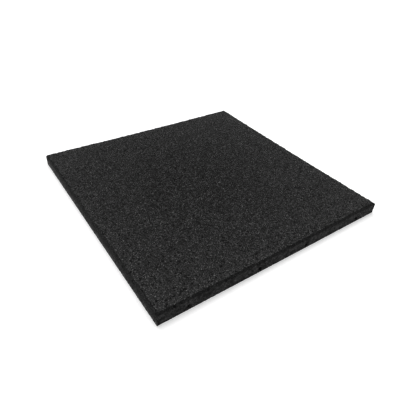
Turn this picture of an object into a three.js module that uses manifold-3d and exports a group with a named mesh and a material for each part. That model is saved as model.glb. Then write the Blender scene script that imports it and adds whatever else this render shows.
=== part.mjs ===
// Rubber gym floor tile: one square slab of black rubber crumb, pressed and cured in a mould.
// Its upper rim is chamfered on all four sides, and two opposite walls have blind holes for the
// loose pins that line the tile up with its neighbours.
// Millimetres, +Z up. The origin is the centre of the underside.

import * as THREE from "three";
import { mergeVertices } from "three/addons/utils/BufferGeometryUtils.js";
import Module from "manifold-3d";

// Slab
const tileLength = 500; // along X
const tileWidth = 500; // along Y
const tileThickness = 25;
const rimChamfer = 4; // at 45 degrees, round the upper rim

// Pin holes, in the walls that face -Y and +Y
const pinHoleDiameter = 8;
const pinHoleDepth = 32;
const pinHoleHeight = 8; // from the underside to the hole's centre line
const pinHolePairSpacing = 140; // between the two holes of a pair
const pinHoleSides = 24;

// How far a cutting shape starts outside the face that it cuts
const overrun = 2;

const wasm = await Module();
wasm.setup();

// A closed geometry as a solid that can be joined and cut
function solidFrom(geometry) {
  geometry.deleteAttribute("normal");
  geometry.deleteAttribute("uv");
  const merged = mergeVertices(geometry);
  const mesh = new wasm.Mesh({
    numProp: 3,
    vertProperties: new Float32Array(merged.attributes.position.array),
    triVerts: new Uint32Array(merged.index.array),
  });
  return new wasm.Manifold(mesh);
}

// A solid's vertices and triangles as a geometry
function geometryFrom(solid) {
  const mesh = solid.getMesh();
  const geometry = new THREE.BufferGeometry();
  geometry.setAttribute("position", new THREE.BufferAttribute(mesh.vertProperties, mesh.numProp));
  geometry.setIndex(new THREE.BufferAttribute(mesh.triVerts, 1));
  geometry.computeVertexNormals();
  return geometry;
}

// A bar along Y with the tile's section: flat below, with a chamfer on each upper corner.
// Its ends lie outside the tile's walls.
function chamferedBar(sectionWidth, barLength) {
  const side = sectionWidth / 2;
  const shoulder = tileThickness - rimChamfer;
  const section = new THREE.Shape();
  section.moveTo(-side, 0);
  section.lineTo(side, 0);
  section.lineTo(side, shoulder);
  section.lineTo(side - rimChamfer, tileThickness);
  section.lineTo(-side + rimChamfer, tileThickness);
  section.lineTo(-side, shoulder);
  section.closePath();
  const length = barLength + 2 * overrun;
  const bar = new THREE.ExtrudeGeometry(section, { depth: length, bevelEnabled: false });
  bar.rotateX(Math.PI / 2);
  bar.translate(0, length / 2, 0);
  return bar;
}

// The slab is what two crossed bars share, so the chamfer goes round all four sides.
function slab() {
  const barAlongY = chamferedBar(tileLength, tileWidth);
  const barAlongX = chamferedBar(tileWidth, tileLength);
  barAlongX.rotateZ(Math.PI / 2);
  return solidFrom(barAlongY).intersect(solidFrom(barAlongX));
}

// What one pin hole takes away: a rod from outside the wall to the hole's end.
// The wall is 1 for the one that faces +Y and -1 for the one that faces -Y.
function pinHole(x, wall) {
  const radius = pinHoleDiameter / 2;
  const length = pinHoleDepth + overrun;
  const rod = new THREE.CylinderGeometry(radius, radius, length, pinHoleSides);
  const middle = tileWidth / 2 + overrun - length / 2;
  rod.translate(x, wall * middle, pinHoleHeight);
  return solidFrom(rod);
}

// Each half of the tile has a pair of holes about its own middle, so the holes also meet
// those of the next row when that row is laid half a tile further along.
function pinHolePositions() {
  const halfMiddle = tileLength / 4;
  const reach = pinHolePairSpacing / 2;
  return [-halfMiddle, halfMiddle].flatMap((middle) => [middle - reach, middle + reach]);
}

function rubberTile() {
  let solid = slab();
  for (const wall of [-1, 1]) {
    for (const x of pinHolePositions()) {
      solid = solid.subtract(pinHole(x, wall));
    }
  }
  // Dry, matt, charcoal-black crumb rubber
  const material = new THREE.MeshStandardMaterial({ color: 0x2d2d2d, roughness: 0.9, metalness: 0 });
  const tile = new THREE.Mesh(geometryFrom(solid), material);
  tile.name = "rubber_tile";
  return tile;
}

const part = new THREE.Group();
part.add(rubberTile());

export default part;
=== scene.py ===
import math

import bpy
import numpy as np
from mathutils import Matrix, Vector, noise


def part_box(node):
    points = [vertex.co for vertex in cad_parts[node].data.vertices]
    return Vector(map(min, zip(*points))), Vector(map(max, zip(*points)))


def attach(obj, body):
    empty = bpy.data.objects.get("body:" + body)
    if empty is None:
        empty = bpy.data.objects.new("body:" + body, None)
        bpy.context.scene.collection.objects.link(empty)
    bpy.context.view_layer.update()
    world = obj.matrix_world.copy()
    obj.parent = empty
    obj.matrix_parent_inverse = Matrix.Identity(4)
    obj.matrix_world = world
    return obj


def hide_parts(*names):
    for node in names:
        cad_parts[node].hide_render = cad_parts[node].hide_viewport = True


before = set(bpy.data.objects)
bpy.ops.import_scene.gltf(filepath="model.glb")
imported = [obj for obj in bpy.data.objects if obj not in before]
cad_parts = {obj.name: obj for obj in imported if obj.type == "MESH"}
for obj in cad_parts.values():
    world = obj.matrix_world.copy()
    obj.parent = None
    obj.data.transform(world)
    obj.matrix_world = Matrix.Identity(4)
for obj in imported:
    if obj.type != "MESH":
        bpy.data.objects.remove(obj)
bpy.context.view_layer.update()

# The tile: one slab of shredded tyre rubber, stirred with a binder and pressed hot in a steel mould.
# The press leaves open grain on the upper face. The mould's walls leave a closed, flatter skin on
# the chamfered rim and the sides, and steel rods in the mould leave the pin holes.
MM = 0.001
high_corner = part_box("rubber_tile")[1]
half_side = high_corner.x
thickness = high_corner.z
chamfer = 4 * MM
shoulder = thickness - chamfer
inner = half_side - chamfer
dish = 1.7 * MM  # how far the middle of the upper face lies below its corners

# The mesh's cells, each about as wide as two crumbs
side_cells = 264
wall_cells = 11
chamfer_cells = 3
under_cells = 33  # the underside only rests on the floor, so its mesh is coarser
cell_width = 2 * half_side / side_cells


def sheet(a, b, c, d, columns, rows):
    """Points and quads of a flat sheet with the corners a, b, c and d, counterclockwise."""
    across = np.linspace(0, 1, columns + 1)[None, :, None]
    up = np.linspace(0, 1, rows + 1)[:, None, None]
    a, b, c, d = (np.array(corner, float) for corner in (a, b, c, d))
    grid = (a * (1 - across) + b * across) * (1 - up) + (d * (1 - across) + c * across) * up
    index = np.arange((columns + 1) * (rows + 1)).reshape(rows + 1, columns + 1)
    quads = np.stack([index[:-1, :-1], index[:-1, 1:], index[1:, 1:], index[1:, :-1]], -1)
    return grid.reshape(-1, 3), quads.reshape(-1, 4)


def quarter_turns(points):
    """The same points on each of the four sides of the tile."""
    for turn in range(4):
        x, y, z = points.T
        yield np.stack([(x, -y, -x, y)[turn], (y, x, -y, -x)[turn], z], -1)


def front_ends(reach, height):
    """Both ends of a line along the front, as far from the middle as it reaches sideways."""
    return (-reach, -reach, height), (reach, -reach, height)


foot_left, foot_right = front_ends(half_side, 0)
shoulder_left, shoulder_right = front_ends(half_side, shoulder)
rim_left, rim_right = front_ends(inner, thickness)
back_left, back_right = (-inner, inner, thickness), (inner, inner, thickness)
top = sheet(rim_left, rim_right, back_right, back_left, side_cells, side_cells)
rim = sheet(shoulder_left, shoulder_right, rim_right, rim_left, side_cells, chamfer_cells)
wall = sheet(foot_left, foot_right, shoulder_right, shoulder_left, side_cells, wall_cells)
sheets = [top]
for points, quads in (rim, wall):
    sheets += [(turned, quads) for turned in quarter_turns(points)]

all_points = []
all_faces = []
count = 0
for points, quads in sheets:
    all_points.append(points)
    all_faces += (quads + count).tolist()
    count += len(points)

# The underside's outer cells also take in the points of the wall's lower edge.
per_cell = side_cells // under_cells
lines = np.linspace(-half_side, half_side, side_cells + 1)
for column in range(under_cells):
    for row in range(under_cells):
        west, east = column * per_cell, (column + 1) * per_cell
        south, north = row * per_cell, (row + 1) * per_cell
        south_step = per_cell if row else 1
        north_step = per_cell if row < under_cells - 1 else 1
        west_step = per_cell if column else 1
        east_step = per_cell if column < under_cells - 1 else 1
        ring = [(west, y) for y in range(south, north, west_step)]
        ring += [(x, north) for x in range(west, east, north_step)]
        ring += [(east, y) for y in range(north, south, -east_step)]
        ring += [(x, south) for x in range(east, west, -south_step)]
        all_points.append(np.array([(lines[x], lines[y], 0) for x, y in ring]))
        all_faces.append(list(range(count, count + len(ring))))
        count += len(ring)

# Points that two sheets share become one.
stacked = np.concatenate(all_points)
weld = 0.01 * MM
snapped = np.round(stacked / weld).astype(int)
_, first, joined = np.unique(snapped, axis=0, return_index=True, return_inverse=True)
flat = stacked[first]
joined = joined.ravel()
faces = [[int(joined[i]) for i in face] for face in all_faces]

# Where each point lies: how far in from the wall, and on which of the surfaces
tiny = 0.1 * MM
reach = np.abs(flat[:, :2])
inset = half_side - reach.max(1)
height = flat[:, 2]
on_top = height > thickness - tiny
on_wall = (inset < tiny) & (height < shoulder + tiny)
on_rim = ~on_top & ~on_wall & (height > tiny)
underneath = (height < tiny) & (inset > tiny)
foot = (height < tiny) & (inset < tiny)
border = on_top & (inset < chamfer + tiny)
sideways = np.zeros_like(flat)
sideways[:, :2] = np.where(reach > half_side - inset[:, None] - tiny, np.sign(flat[:, :2]), 0)
sideways /= np.maximum(np.linalg.norm(sideways, axis=1, keepdims=True), 1)
outward = np.zeros_like(flat)
outward[on_top] = (0, 0, 1)
outward[on_wall] = sideways[on_wall]
outward[on_rim] = sideways[on_rim]
outward[on_rim, 2] = 1
outward[on_rim] /= np.linalg.norm(outward[on_rim], axis=1, keepdims=True)

# Crumbs lie at random, so each point strays a little within its surface. Points on an edge keep to
# it more closely.
seed = 25
random = np.random.default_rng(seed)
stray_share = 0.32  # of a cell's width, either way
stray = stray_share * cell_width
edge_hold = 0.6  # of what a point on an edge would stray off it
shift = random.uniform(-stray, stray, flat.shape)
shift -= outward * (shift * outward).sum(1, keepdims=True)
edge = border | foot | (on_wall & (height > shoulder - tiny))
shift[edge, 2] = 0
shift[edge] -= edge_hold * sideways[edge] * (shift[edge] * sideways[edge]).sum(1, keepdims=True)
shift[underneath] = 0

# The border of the open grain against the chamfer is ragged, as whole crumbs have come off it. The
# chamfer follows it, less and less towards the wall.
ragged_reach = 0.6 * MM
ragged_wave = 2.4 * MM
ragged_length = 8 * MM
for i in np.flatnonzero(border | on_rim):
    wave = noise.noise(Vector(flat[i]) / ragged_length)
    shift[i] += sideways[i] * ragged_wave * wave * inset[i] / chamfer
    shift[i] += sideways[i] * random.uniform(-ragged_reach, ragged_reach) * border[i]

# How far each point lies below the surface that the mould gave: little on the skin, more on the
# open grain, and deepest where crumbs have come away. The skin of the walls is also wavy.
top_depth, top_pit = 0.5 * MM, 1.0 * MM
rim_depth, rim_pit = 0.12 * MM, 0.5 * MM
wall_depth, wall_pit = 0.2 * MM, 0.7 * MM
lost_share = 0.05  # of the points
sunk = np.zeros(len(flat))
lost = random.random(len(flat)) < lost_share
depth = random.random(len(flat))
for where, grain_depth, pit_depth in (
    (on_top, top_depth, top_pit), (on_rim, rim_depth, rim_pit), (on_wall, wall_depth, wall_pit)
):
    sunk[where] = (depth * np.where(lost, pit_depth, grain_depth))[where]
foot_wear = 0.4 * MM
sunk[foot] += foot_wear * random.random(foot.sum())
wall_wave = 0.4 * MM
wall_wave_length = 8 * MM
for i in np.flatnonzero(on_wall & ~foot):
    wave = noise.noise(Vector(flat[i]) / wall_wave_length)
    sunk[i] += wall_wave * (1 + wave) / 2

# The dish is even in the middle, and rises only towards the corners. The walls are lower with it.
shaped = flat + shift - outward * sunk[:, None]
across = shaped[:, :2] / half_side
low_middle = 1 - (across[:, 0] * across[:, 1]) ** 2
shaped[:, 2] *= 1 - dish / thickness * low_middle

tile_mesh = bpy.data.meshes.new("crumb_rubber_tile")
tile_mesh.from_pydata(shaped.tolist(), [], faces)
tile_mesh.shade_smooth()
tile_mesh.validate()
tile = bpy.data.objects.new("crumb_rubber_tile", tile_mesh)
bpy.context.collection.objects.link(tile)

# The rods that left the pin holes, four in each of the walls that face -Y and +Y. The rubber has
# closed a little unevenly round them.
pin_radius = 4 * MM
pin_depth = 32 * MM
pin_height = 8 * MM
pin_places = (-195 * MM, -55 * MM, 55 * MM, 195 * MM)
rod_sides = 28
rod_rings = 12
rod_start = 2 * MM  # outside the wall
rod_wear = 0.03  # of the radius, either way


def rod(x, wall_side):
    """A closed, slightly uneven rod from outside the wall to the hole's end."""
    angles = np.linspace(0, 2 * math.pi, rod_sides, endpoint=False)
    points = []
    for along in np.linspace(-rod_start, pin_depth, rod_rings):
        radius = pin_radius * (1 + random.uniform(-rod_wear, rod_wear, rod_sides))
        y = wall_side * (half_side - along)
        points += [(x + r * math.cos(a), y, pin_height + r * math.sin(a)) for a, r in zip(angles, radius)]
    rings = np.arange(rod_rings * rod_sides).reshape(rod_rings, rod_sides)
    around = np.roll(rings, -1, axis=1)
    sides = np.stack([rings[:-1], rings[1:], around[1:], around[:-1]], -1).reshape(-1, 4).tolist()
    ends = [rings[0].tolist(), rings[-1][::-1].tolist()]
    turned = [face if wall_side < 0 else face[::-1] for face in sides + ends]
    return points, turned


rod_points, rod_faces = [], []
for wall_side in (-1, 1):
    for x in pin_places:
        points, turned = rod(x, wall_side)
        rod_faces += [[i + len(rod_points) for i in face] for face in turned]
        rod_points += points
rods_mesh = bpy.data.meshes.new("mould_rods")
rods_mesh.from_pydata(rod_points, [], rod_faces)
rods_mesh.shade_smooth()
rods = bpy.data.objects.new("mould_rods", rods_mesh)
bpy.context.collection.objects.link(rods)
cut = tile.modifiers.new("pin_holes", "BOOLEAN")
cut.operation = "DIFFERENCE"
cut.solver = "EXACT"
cut.object = rods
pierced = tile.evaluated_get(bpy.context.evaluated_depsgraph_get())
tile.data = bpy.data.meshes.new_from_object(pierced)
tile.modifiers.clear()
bpy.data.objects.remove(rods)

# The mouths of the holes and the foot of the walls are crisp, and the edges of the rim are worn round.
crisp_turn = math.radians(60)
tile.data.set_sharp_from_angle(angle=crisp_turn)


def linear(hex_colour):
    """An sRGB hex colour as linear red, green, blue and alpha."""
    channels = [int(hex_colour[i:i + 2], 16) / 255 for i in (1, 3, 5)]
    return (*(c / 12.92 if c <= 0.04045 else ((c + 0.055) / 1.055) ** 2.4 for c in channels), 1)


def add_node(tree, kind, inputs, **settings):
    """A new node. Each input gets a value, or a link from another node's output."""
    node = tree.nodes.new(kind)
    for name, value in settings.items():
        setattr(node, name, value)
    for name, value in inputs.items():
        if isinstance(value, bpy.types.NodeSocket):
            tree.links.new(value, node.inputs[name])
        else:
            node.inputs[name].default_value = value
    return node.outputs


# Pressed crumb rubber: black, dry and matt, of crumbs about 1 mm across. Each crumb has its own
# shade and lies at its own angle, so the upper face sparkles faintly. On the mould's skin the
# crumbs are pressed flat, with hardly a gap between them.
rubber = bpy.data.materials.new("pressed_crumb_rubber")
rubber.use_nodes = True
tree = rubber.node_tree
shader = tree.nodes["Principled BSDF"]
place = add_node(tree, "ShaderNodeTexCoord", {})["Object"]

# Crumbs: cells with bent sides
crumb_size = 0.9 * MM
bend_length = 1.6 * MM
bend_reach = 0.45 * MM
bend_detail = 1.0
centred = (-0.5, -0.5, -0.5)
bend = add_node(
    tree, "ShaderNodeTexNoise", {"Vector": place, "Scale": 1 / bend_length, "Detail": bend_detail})
bend_sides = add_node(tree, "ShaderNodeVectorMath", {0: bend["Color"], 1: centred}, operation="ADD")
bend_scaled = add_node(
    tree, "ShaderNodeVectorMath", {0: bend_sides["Vector"], "Scale": bend_reach}, operation="SCALE")
bent = add_node(tree, "ShaderNodeVectorMath", {0: place, 1: bend_scaled["Vector"]}, operation="ADD")
crumb_inputs = {"Vector": bent["Vector"], "Scale": 1 / crumb_size}
crumbs = add_node(tree, "ShaderNodeTexVoronoi", crumb_inputs)
gaps = add_node(tree, "ShaderNodeTexVoronoi", crumb_inputs, feature="DISTANCE_TO_EDGE")
chances = add_node(tree, "ShaderNodeSeparateColor", {"Color": crumbs["Color"]})
crumb_middle = crumbs["Position"]

# The skin: every crumb whose middle lies within the rim, or below the open grain. Its border is
# ragged too.
mottle_length = 6 * MM
mottle_detail = 2.0
border_reach = 5 * MM
mottle = add_node(
    tree, "ShaderNodeTexNoise",
    {"Vector": crumb_middle, "Scale": 1 / mottle_length, "Detail": mottle_detail})
middle = add_node(tree, "ShaderNodeVectorMath", {0: crumb_middle}, operation="ABSOLUTE")
middle_at = add_node(tree, "ShaderNodeSeparateXYZ", {"Vector": middle["Vector"]})
furthest = add_node(tree, "ShaderNodeMath", {0: middle_at["X"], 1: middle_at["Y"]}, operation="MAXIMUM")
wavering = add_node(
    tree, "ShaderNodeMath", {0: mottle["Fac"], 1: border_reach, 2: inner - border_reach / 2},
    operation="MULTIPLY_ADD")
outside = add_node(
    tree, "ShaderNodeMath", {0: furthest["Value"], 1: wavering["Value"]}, operation="GREATER_THAN")
lower = add_node(tree, "ShaderNodeMath", {0: middle_at["Z"], 1: shoulder}, operation="LESS_THAN")
skin = add_node(
    tree, "ShaderNodeMath", {0: outside["Value"], 1: lower["Value"]}, operation="MAXIMUM")["Value"]

# The rim's skin has its own, darker shades: painted shade along the chamfer. It is the part that slopes.
slope_from, slope_full = 0.25, 0.55
face_normal = add_node(tree, "ShaderNodeNewGeometry", {})["Normal"]
facing = add_node(tree, "ShaderNodeSeparateXYZ", {"Vector": face_normal})
slope = add_node(
    tree, "ShaderNodeMapRange", {"Value": facing["Z"], "From Min": slope_from, "From Max": slope_full},
    interpolation_type="SMOOTHSTEP")

# Shades of the crumbs, each with its place between the darkest and the palest crumb. A new ramp
# has its two ends already.
grain_shades = (
    (0.0, "#000000"), (1.0, "#b8b8b8"), (0.35, "#0d0d0d"), (0.6, "#2b2b2b"), (0.85, "#5f5f5f"),
    (0.97, "#848484"))
wall_shades = ((0.0, "#0a0a0a"), (1.0, "#3a3a3a"), (0.5, "#1e1e1e"))
# The rim's shades are darker than the wall's: a painted shade.
rim_painted_shades = ((0.0, "#040404"), (1.0, "#323232"), (0.5, "#151515"))
ramp_ends = 2
shades = []
for stops in (grain_shades, wall_shades, rim_painted_shades):
    ramp = tree.nodes.new("ShaderNodeValToRGB")
    tree.links.new(chances["Red"], ramp.inputs["Fac"])
    for number, (position, shade) in enumerate(stops):
        elements = ramp.color_ramp.elements
        element = elements[number] if number < ramp_ends else elements.new(position)
        element.color = linear(shade)
    shades.append(ramp.outputs["Color"])
grain_shade, wall_shade, rim_painted_shade = shades

# Where a few crumbs are missing, the ones below lie in a pit, whose shade is painted as a darker colour.
pit_size = 2.6 * MM
pit_share = 0.08
pit_shade_tone = 0.04  # a tone multiplies a crumb's shade
pits = add_node(tree, "ShaderNodeTexVoronoi", {"Vector": crumb_middle, "Scale": 1 / pit_size})
pit_chance = add_node(tree, "ShaderNodeSeparateColor", {"Color": pits["Color"]})
kept = add_node(
    tree, "ShaderNodeMath", {0: pit_chance["Red"], 1: pit_share}, operation="GREATER_THAN")
pit_shade = add_node(tree, "ShaderNodeMapRange", {"Value": kept["Value"], "To Min": pit_shade_tone})

# The walls are mottled in patches, darker and paler than the rest.
patch_from, patch_full = 0.35, 0.65
dark_patch, pale_patch = 0.2, 1.8
mottled = add_node(
    tree, "ShaderNodeMapRange",
    {"Value": mottle["Fac"], "From Min": patch_from, "From Max": patch_full,
     "To Min": dark_patch, "To Max": pale_patch})
wall_mottled = add_node(
    tree, "ShaderNodeMath", {0: wall_shade, 1: mottled["Result"]}, operation="MULTIPLY")

# Crumbs of one tyre often lie together, in darker and paler clumps.
clump_length = 5 * MM
clump_detail = 1.0
clump_from, clump_full = 0.3, 0.7
dark_clump, pale_clump = 0.7, 1.3
clump = add_node(
    tree, "ShaderNodeTexNoise",
    {"Vector": crumb_middle, "Scale": 1 / clump_length, "Detail": clump_detail})
clumped = add_node(
    tree, "ShaderNodeMapRange",
    {"Value": clump["Fac"], "From Min": clump_from, "From Max": clump_full,
     "To Min": dark_clump, "To Max": pale_clump})
grain_clumped = add_node(
    tree, "ShaderNodeMath", {0: grain_shade, 1: clumped["Result"]}, operation="MULTIPLY")

# The two plain walls are darker than the walls with the holes, a painted shade, with painted light at
# the foot that reaches higher towards the back. The rim above them is paler, also painted light.
plain_from, plain_full = 0.5, 0.8
front_foot_light_height, back_foot_light_height = 15 * MM, 24 * MM
plain_foot_light_tone, plain_shade_tone = 3.0, 0.2
plain_rim_light_tone = 1.5
to_side = add_node(tree, "ShaderNodeMath", {0: facing["X"]}, operation="ABSOLUTE")
plain = add_node(
    tree, "ShaderNodeMapRange",
    {"Value": to_side["Value"], "From Min": plain_from, "From Max": plain_full})
at = add_node(tree, "ShaderNodeSeparateXYZ", {"Vector": place})
foot_light_height = add_node(
    tree, "ShaderNodeMapRange",
    {"Value": at["Y"], "From Max": half_side,
     "To Min": front_foot_light_height, "To Max": back_foot_light_height})
foot_light_and_shade = add_node(
    tree, "ShaderNodeMapRange",
    {"Value": at["Z"], "From Max": foot_light_height["Result"],
     "To Min": plain_foot_light_tone, "To Max": plain_shade_tone},
    interpolation_type="SMOOTHSTEP")
plain_wall_light_and_shade = add_node(
    tree, "ShaderNodeMapRange", {"Value": plain["Result"], "To Min": 1.0, "To Max": foot_light_and_shade["Result"]})
wall_painted_light_and_shade = add_node(
    tree, "ShaderNodeMath", {0: wall_mottled["Value"], 1: plain_wall_light_and_shade["Result"]}, operation="MULTIPLY")
# The rim above the plain walls is paler: painted light.
plain_rim_light = add_node(
    tree, "ShaderNodeMapRange", {"Value": plain["Result"], "To Min": 1.0, "To Max": plain_rim_light_tone})
rim_painted_light_and_shade = add_node(
    tree, "ShaderNodeMath", {0: rim_painted_shade, 1: plain_rim_light["Result"]}, operation="MULTIPLY")

# The lower side of each pin hole, the only skin that slopes below the rim, takes the wall's shades with
# painted light in the first hole of each row and painted shade in the others.
first_hole_light_tone, other_hole_shade_tone = 3.2, 0.8
hole_painted_tone = add_node(
    tree, "ShaderNodeMapRange",
    {"Value": at["X"], "From Min": pin_places[0], "From Max": pin_places[1],
     "To Min": first_hole_light_tone, "To Max": other_hole_shade_tone})
hole_painted_light_and_shade = add_node(
    tree, "ShaderNodeMath", {0: wall_shade, 1: hole_painted_tone["Result"]}, operation="MULTIPLY")
in_hole = add_node(
    tree, "ShaderNodeMath", {0: at["Z"], 1: pin_height + pin_radius}, operation="LESS_THAN")
sloping_shade = add_node(
    tree, "ShaderNodeMapRange",
    {"Value": in_hole["Value"], "To Min": rim_painted_light_and_shade["Value"], "To Max": hole_painted_light_and_shade["Value"]})
skin_shade = add_node(
    tree, "ShaderNodeMapRange",
    {"Value": slope["Result"], "To Min": wall_painted_light_and_shade["Value"], "To Max": sloping_shade["Result"]})
shade = add_node(
    tree, "ShaderNodeMapRange",
    {"Value": skin, "To Min": grain_clumped["Value"], "To Max": skin_shade["Result"]})

# Gaps between the crumbs are deep on the open grain and nearly closed on the skin; their shade is
# painted.
grain_gap, grain_gap_shade_tone = 0.3, 0.1  # width as a share of a crumb
skin_gap, skin_gap_shade_tone = 0.1, 0.6
open_gap, closed_gap = (
    add_node(
        tree, "ShaderNodeMapRange", {"Value": gaps["Distance"], "From Max": width, "To Min": tone},
        interpolation_type="SMOOTHSTEP")["Result"]
    for width, tone in ((grain_gap, grain_gap_shade_tone), (skin_gap, skin_gap_shade_tone)))
gap_shade_and_depth = add_node(tree, "ShaderNodeMapRange", {"Value": skin, "To Min": open_gap, "To Max": closed_gap})

# A thin pale veil is added over the open grain: none in a middle a little behind the centre, more and
# more towards the edges, and a little more along the rim.
bare_middle = (0, 30 * MM, 0)
bare_radius = 80 * MM
full_veil_radius = 360 * MM
most_veil = 0.0142  # what it adds to the rubber's colour
rim_veil_reach = 25 * MM
most_rim_veil = 0.0035
from_bare_middle = add_node(tree, "ShaderNodeVectorMath", {0: place, 1: bare_middle}, operation="DISTANCE")
veil_amount = add_node(
    tree, "ShaderNodeMapRange",
    {"Value": from_bare_middle["Value"], "From Min": bare_radius, "From Max": full_veil_radius,
     "To Max": most_veil})
rim_veil = add_node(
    tree, "ShaderNodeMapRange",
    {"Value": furthest["Value"], "From Min": inner - rim_veil_reach, "From Max": inner,
     "To Max": most_rim_veil})
all_veil = add_node(
    tree, "ShaderNodeMath", {0: veil_amount["Result"], 1: rim_veil["Result"]}, operation="ADD")
veil = add_node(
    tree, "ShaderNodeMapRange", {"Value": skin, "To Min": all_veil["Value"], "To Max": 0.0})
veiled = add_node(
    tree, "ShaderNodeMath", {0: shade["Result"], 1: gap_shade_and_depth["Result"], 2: veil["Result"]},
    operation="MULTIPLY_ADD")
colour = add_node(
    tree, "ShaderNodeMath", {0: veiled["Value"], 1: pit_shade["Result"]}, operation="MULTIPLY")
tree.links.new(colour["Value"], shader.inputs["Base Color"])

# Each crumb's own angle
tilt_grain, tilt_skin = 0.9, 0.2
tilt = add_node(tree, "ShaderNodeVectorMath", {0: crumbs["Color"], 1: centred}, operation="ADD")
tilt_size = add_node(
    tree, "ShaderNodeMapRange", {"Value": skin, "To Min": tilt_grain, "To Max": tilt_skin})
tilted = add_node(
    tree, "ShaderNodeVectorMath", {0: tilt["Vector"], "Scale": tilt_size["Result"]}, operation="SCALE")
crumb_normal = add_node(
    tree, "ShaderNodeVectorMath", {0: face_normal, 1: tilted["Vector"]}, operation="ADD")
crumb_facing = add_node(
    tree, "ShaderNodeVectorMath", {0: crumb_normal["Vector"]}, operation="NORMALIZE")

# Torn rubber: a fine roughness over each crumb, with the gaps between the crumbs
torn_length = 0.6 * MM
torn_detail = 3.0
torn_share = 0.35
relief_height = 0.5 * MM
torn = add_node(
    tree, "ShaderNodeTexNoise", {"Vector": place, "Scale": 1 / torn_length, "Detail": torn_detail})
relief = add_node(
    tree, "ShaderNodeMath", {0: torn["Fac"], 1: torn_share, 2: gap_shade_and_depth["Result"]}, operation="MULTIPLY_ADD")
bumps = add_node(
    tree, "ShaderNodeBump",
    {"Height": relief["Value"], "Distance": relief_height, "Normal": crumb_facing["Vector"]})
tree.links.new(bumps["Normal"], shader.inputs["Normal"])

# Torn rubber is rough; a crumb cut clean by the shredder is a little smoother.
torn_roughness, cut_roughness = 0.95, 0.62
rough = add_node(
    tree, "ShaderNodeMapRange",
    {"Value": chances["Green"], "To Min": torn_roughness, "To Max": cut_roughness})
tree.links.new(rough["Result"], shader.inputs["Roughness"])

# Rubber bends light as much as glass does, but the pores between the crumbs swallow most of the
# shine.
rubber_ior = 1.52
rubber_shine = 0.08
shader.inputs["IOR"].default_value = rubber_ior
shader.inputs["Specular IOR Level"].default_value = rubber_shine

tile.data.materials.clear()
tile.data.materials.append(rubber)
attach(tile, "root")
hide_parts("rubber_tile")

# The floor: a plain white acrylic table, far wider than the view. It is lit faintly from below, so
# that the tile throws hardly any shadow on it.
floor_half = 15.0
floor_mesh = bpy.data.meshes.new("pale_floor")
floor_corners = [(x * floor_half, y * floor_half, 0) for x, y in ((-1, -1), (1, -1), (1, 1), (-1, 1))]
floor_mesh.from_pydata(floor_corners, [], [(0, 1, 2, 3)])
floor = bpy.data.objects.new("pale_floor", floor_mesh)
bpy.context.collection.objects.link(floor)

# Matt white acrylic: its sanded face hardly reflects, and lets the light below it through.
acrylic_white, glow_white = "#eeeeee", "#ffffff"
acrylic_roughness = 0.9
acrylic_shine = 0.2
acrylic_glow = 0.4
acrylic = bpy.data.materials.new("matt_white_acrylic")
acrylic.use_nodes = True
acrylic_shader = acrylic.node_tree.nodes["Principled BSDF"]
acrylic_shader.inputs["Base Color"].default_value = linear(acrylic_white)
acrylic_shader.inputs["Roughness"].default_value = acrylic_roughness
acrylic_shader.inputs["Specular IOR Level"].default_value = acrylic_shine
acrylic_shader.inputs["Emission Color"].default_value = linear(glow_white)
acrylic_shader.inputs["Emission Strength"].default_value = acrylic_glow
floor_mesh.materials.append(acrylic)

# The light: a wide soft source high over the back right, in a pale room. The room's walls are as
# white as the floor, and fade into a dimmer ceiling.
room_white = "#ffffff"
horizon_strength = 1.0
ceiling_strength = 0.48
ceiling_from = math.radians(25)  # above the horizon
room = bpy.data.worlds.new("pale_room")
room.use_nodes = True
room_tree = room.node_tree
background = room_tree.nodes["Background"]
direction = add_node(room_tree, "ShaderNodeTexCoord", {})["Generated"]
rise = add_node(room_tree, "ShaderNodeSeparateXYZ", {"Vector": direction})["Z"]
strength = add_node(
    room_tree, "ShaderNodeMapRange",
    {"Value": rise, "From Max": math.sin(ceiling_from), "To Min": horizon_strength,
     "To Max": ceiling_strength},
    interpolation_type="SMOOTHSTEP")
room_tree.links.new(strength["Result"], background.inputs["Strength"])
background.inputs["Color"].default_value = linear(room_white)
bpy.context.scene.world = room
overhead_strength = 2.2
overhead_width = math.radians(50)
light_from = Vector((0.2, 0.5, 1.0))
soft = bpy.data.lights.new("soft_overhead", "SUN")
soft.energy = overhead_strength
soft.angle = overhead_width
soft_light = bpy.data.objects.new("soft_overhead", soft)
soft_light.rotation_mode = "QUATERNION"
soft_light.rotation_quaternion = light_from.to_track_quat("Z", "Y")
bpy.context.collection.objects.link(soft_light)
bpy.context.scene.view_settings.view_transform = "Standard"

# The camera stands where the photograph was taken, and is turned a little about its own axis. The
# photograph is part of a larger frame, so the view is shifted.
azimuth = math.radians(-36.155)
elevation = math.radians(34.279)
roll = math.radians(3.343)
distance = 879.1 * MM
aim = Vector((9.8, 27.6, 0)) * MM
sensor_width = 36  # this and the lens in millimetres
lens = 34.22
shift_right, shift_up = 0.0289, -0.0732  # as shares of the frame's width
nearest = 10 * MM
away = math.cos(elevation)
back = Vector((math.sin(azimuth) * away, -math.cos(azimuth) * away, math.sin(elevation)))
right = (-back).cross(Vector((0, 0, 1))).normalized()
up = back.cross(right)
camera_data = bpy.data.cameras.new("camera")
camera_data.sensor_width = sensor_width
camera_data.lens = lens
camera_data.shift_x = shift_right
camera_data.shift_y = shift_up
camera_data.clip_start = nearest
camera = bpy.data.objects.new("camera", camera_data)
turned_right = right * math.cos(roll) + up * math.sin(roll)
turned_up = up * math.cos(roll) - right * math.sin(roll)
axes = Matrix((turned_right, turned_up, back)).transposed()
camera.matrix_world = Matrix.Translation(aim + back * distance) @ axes.to_4x4()
bpy.context.collection.objects.link(camera)
bpy.context.scene.camera = camera
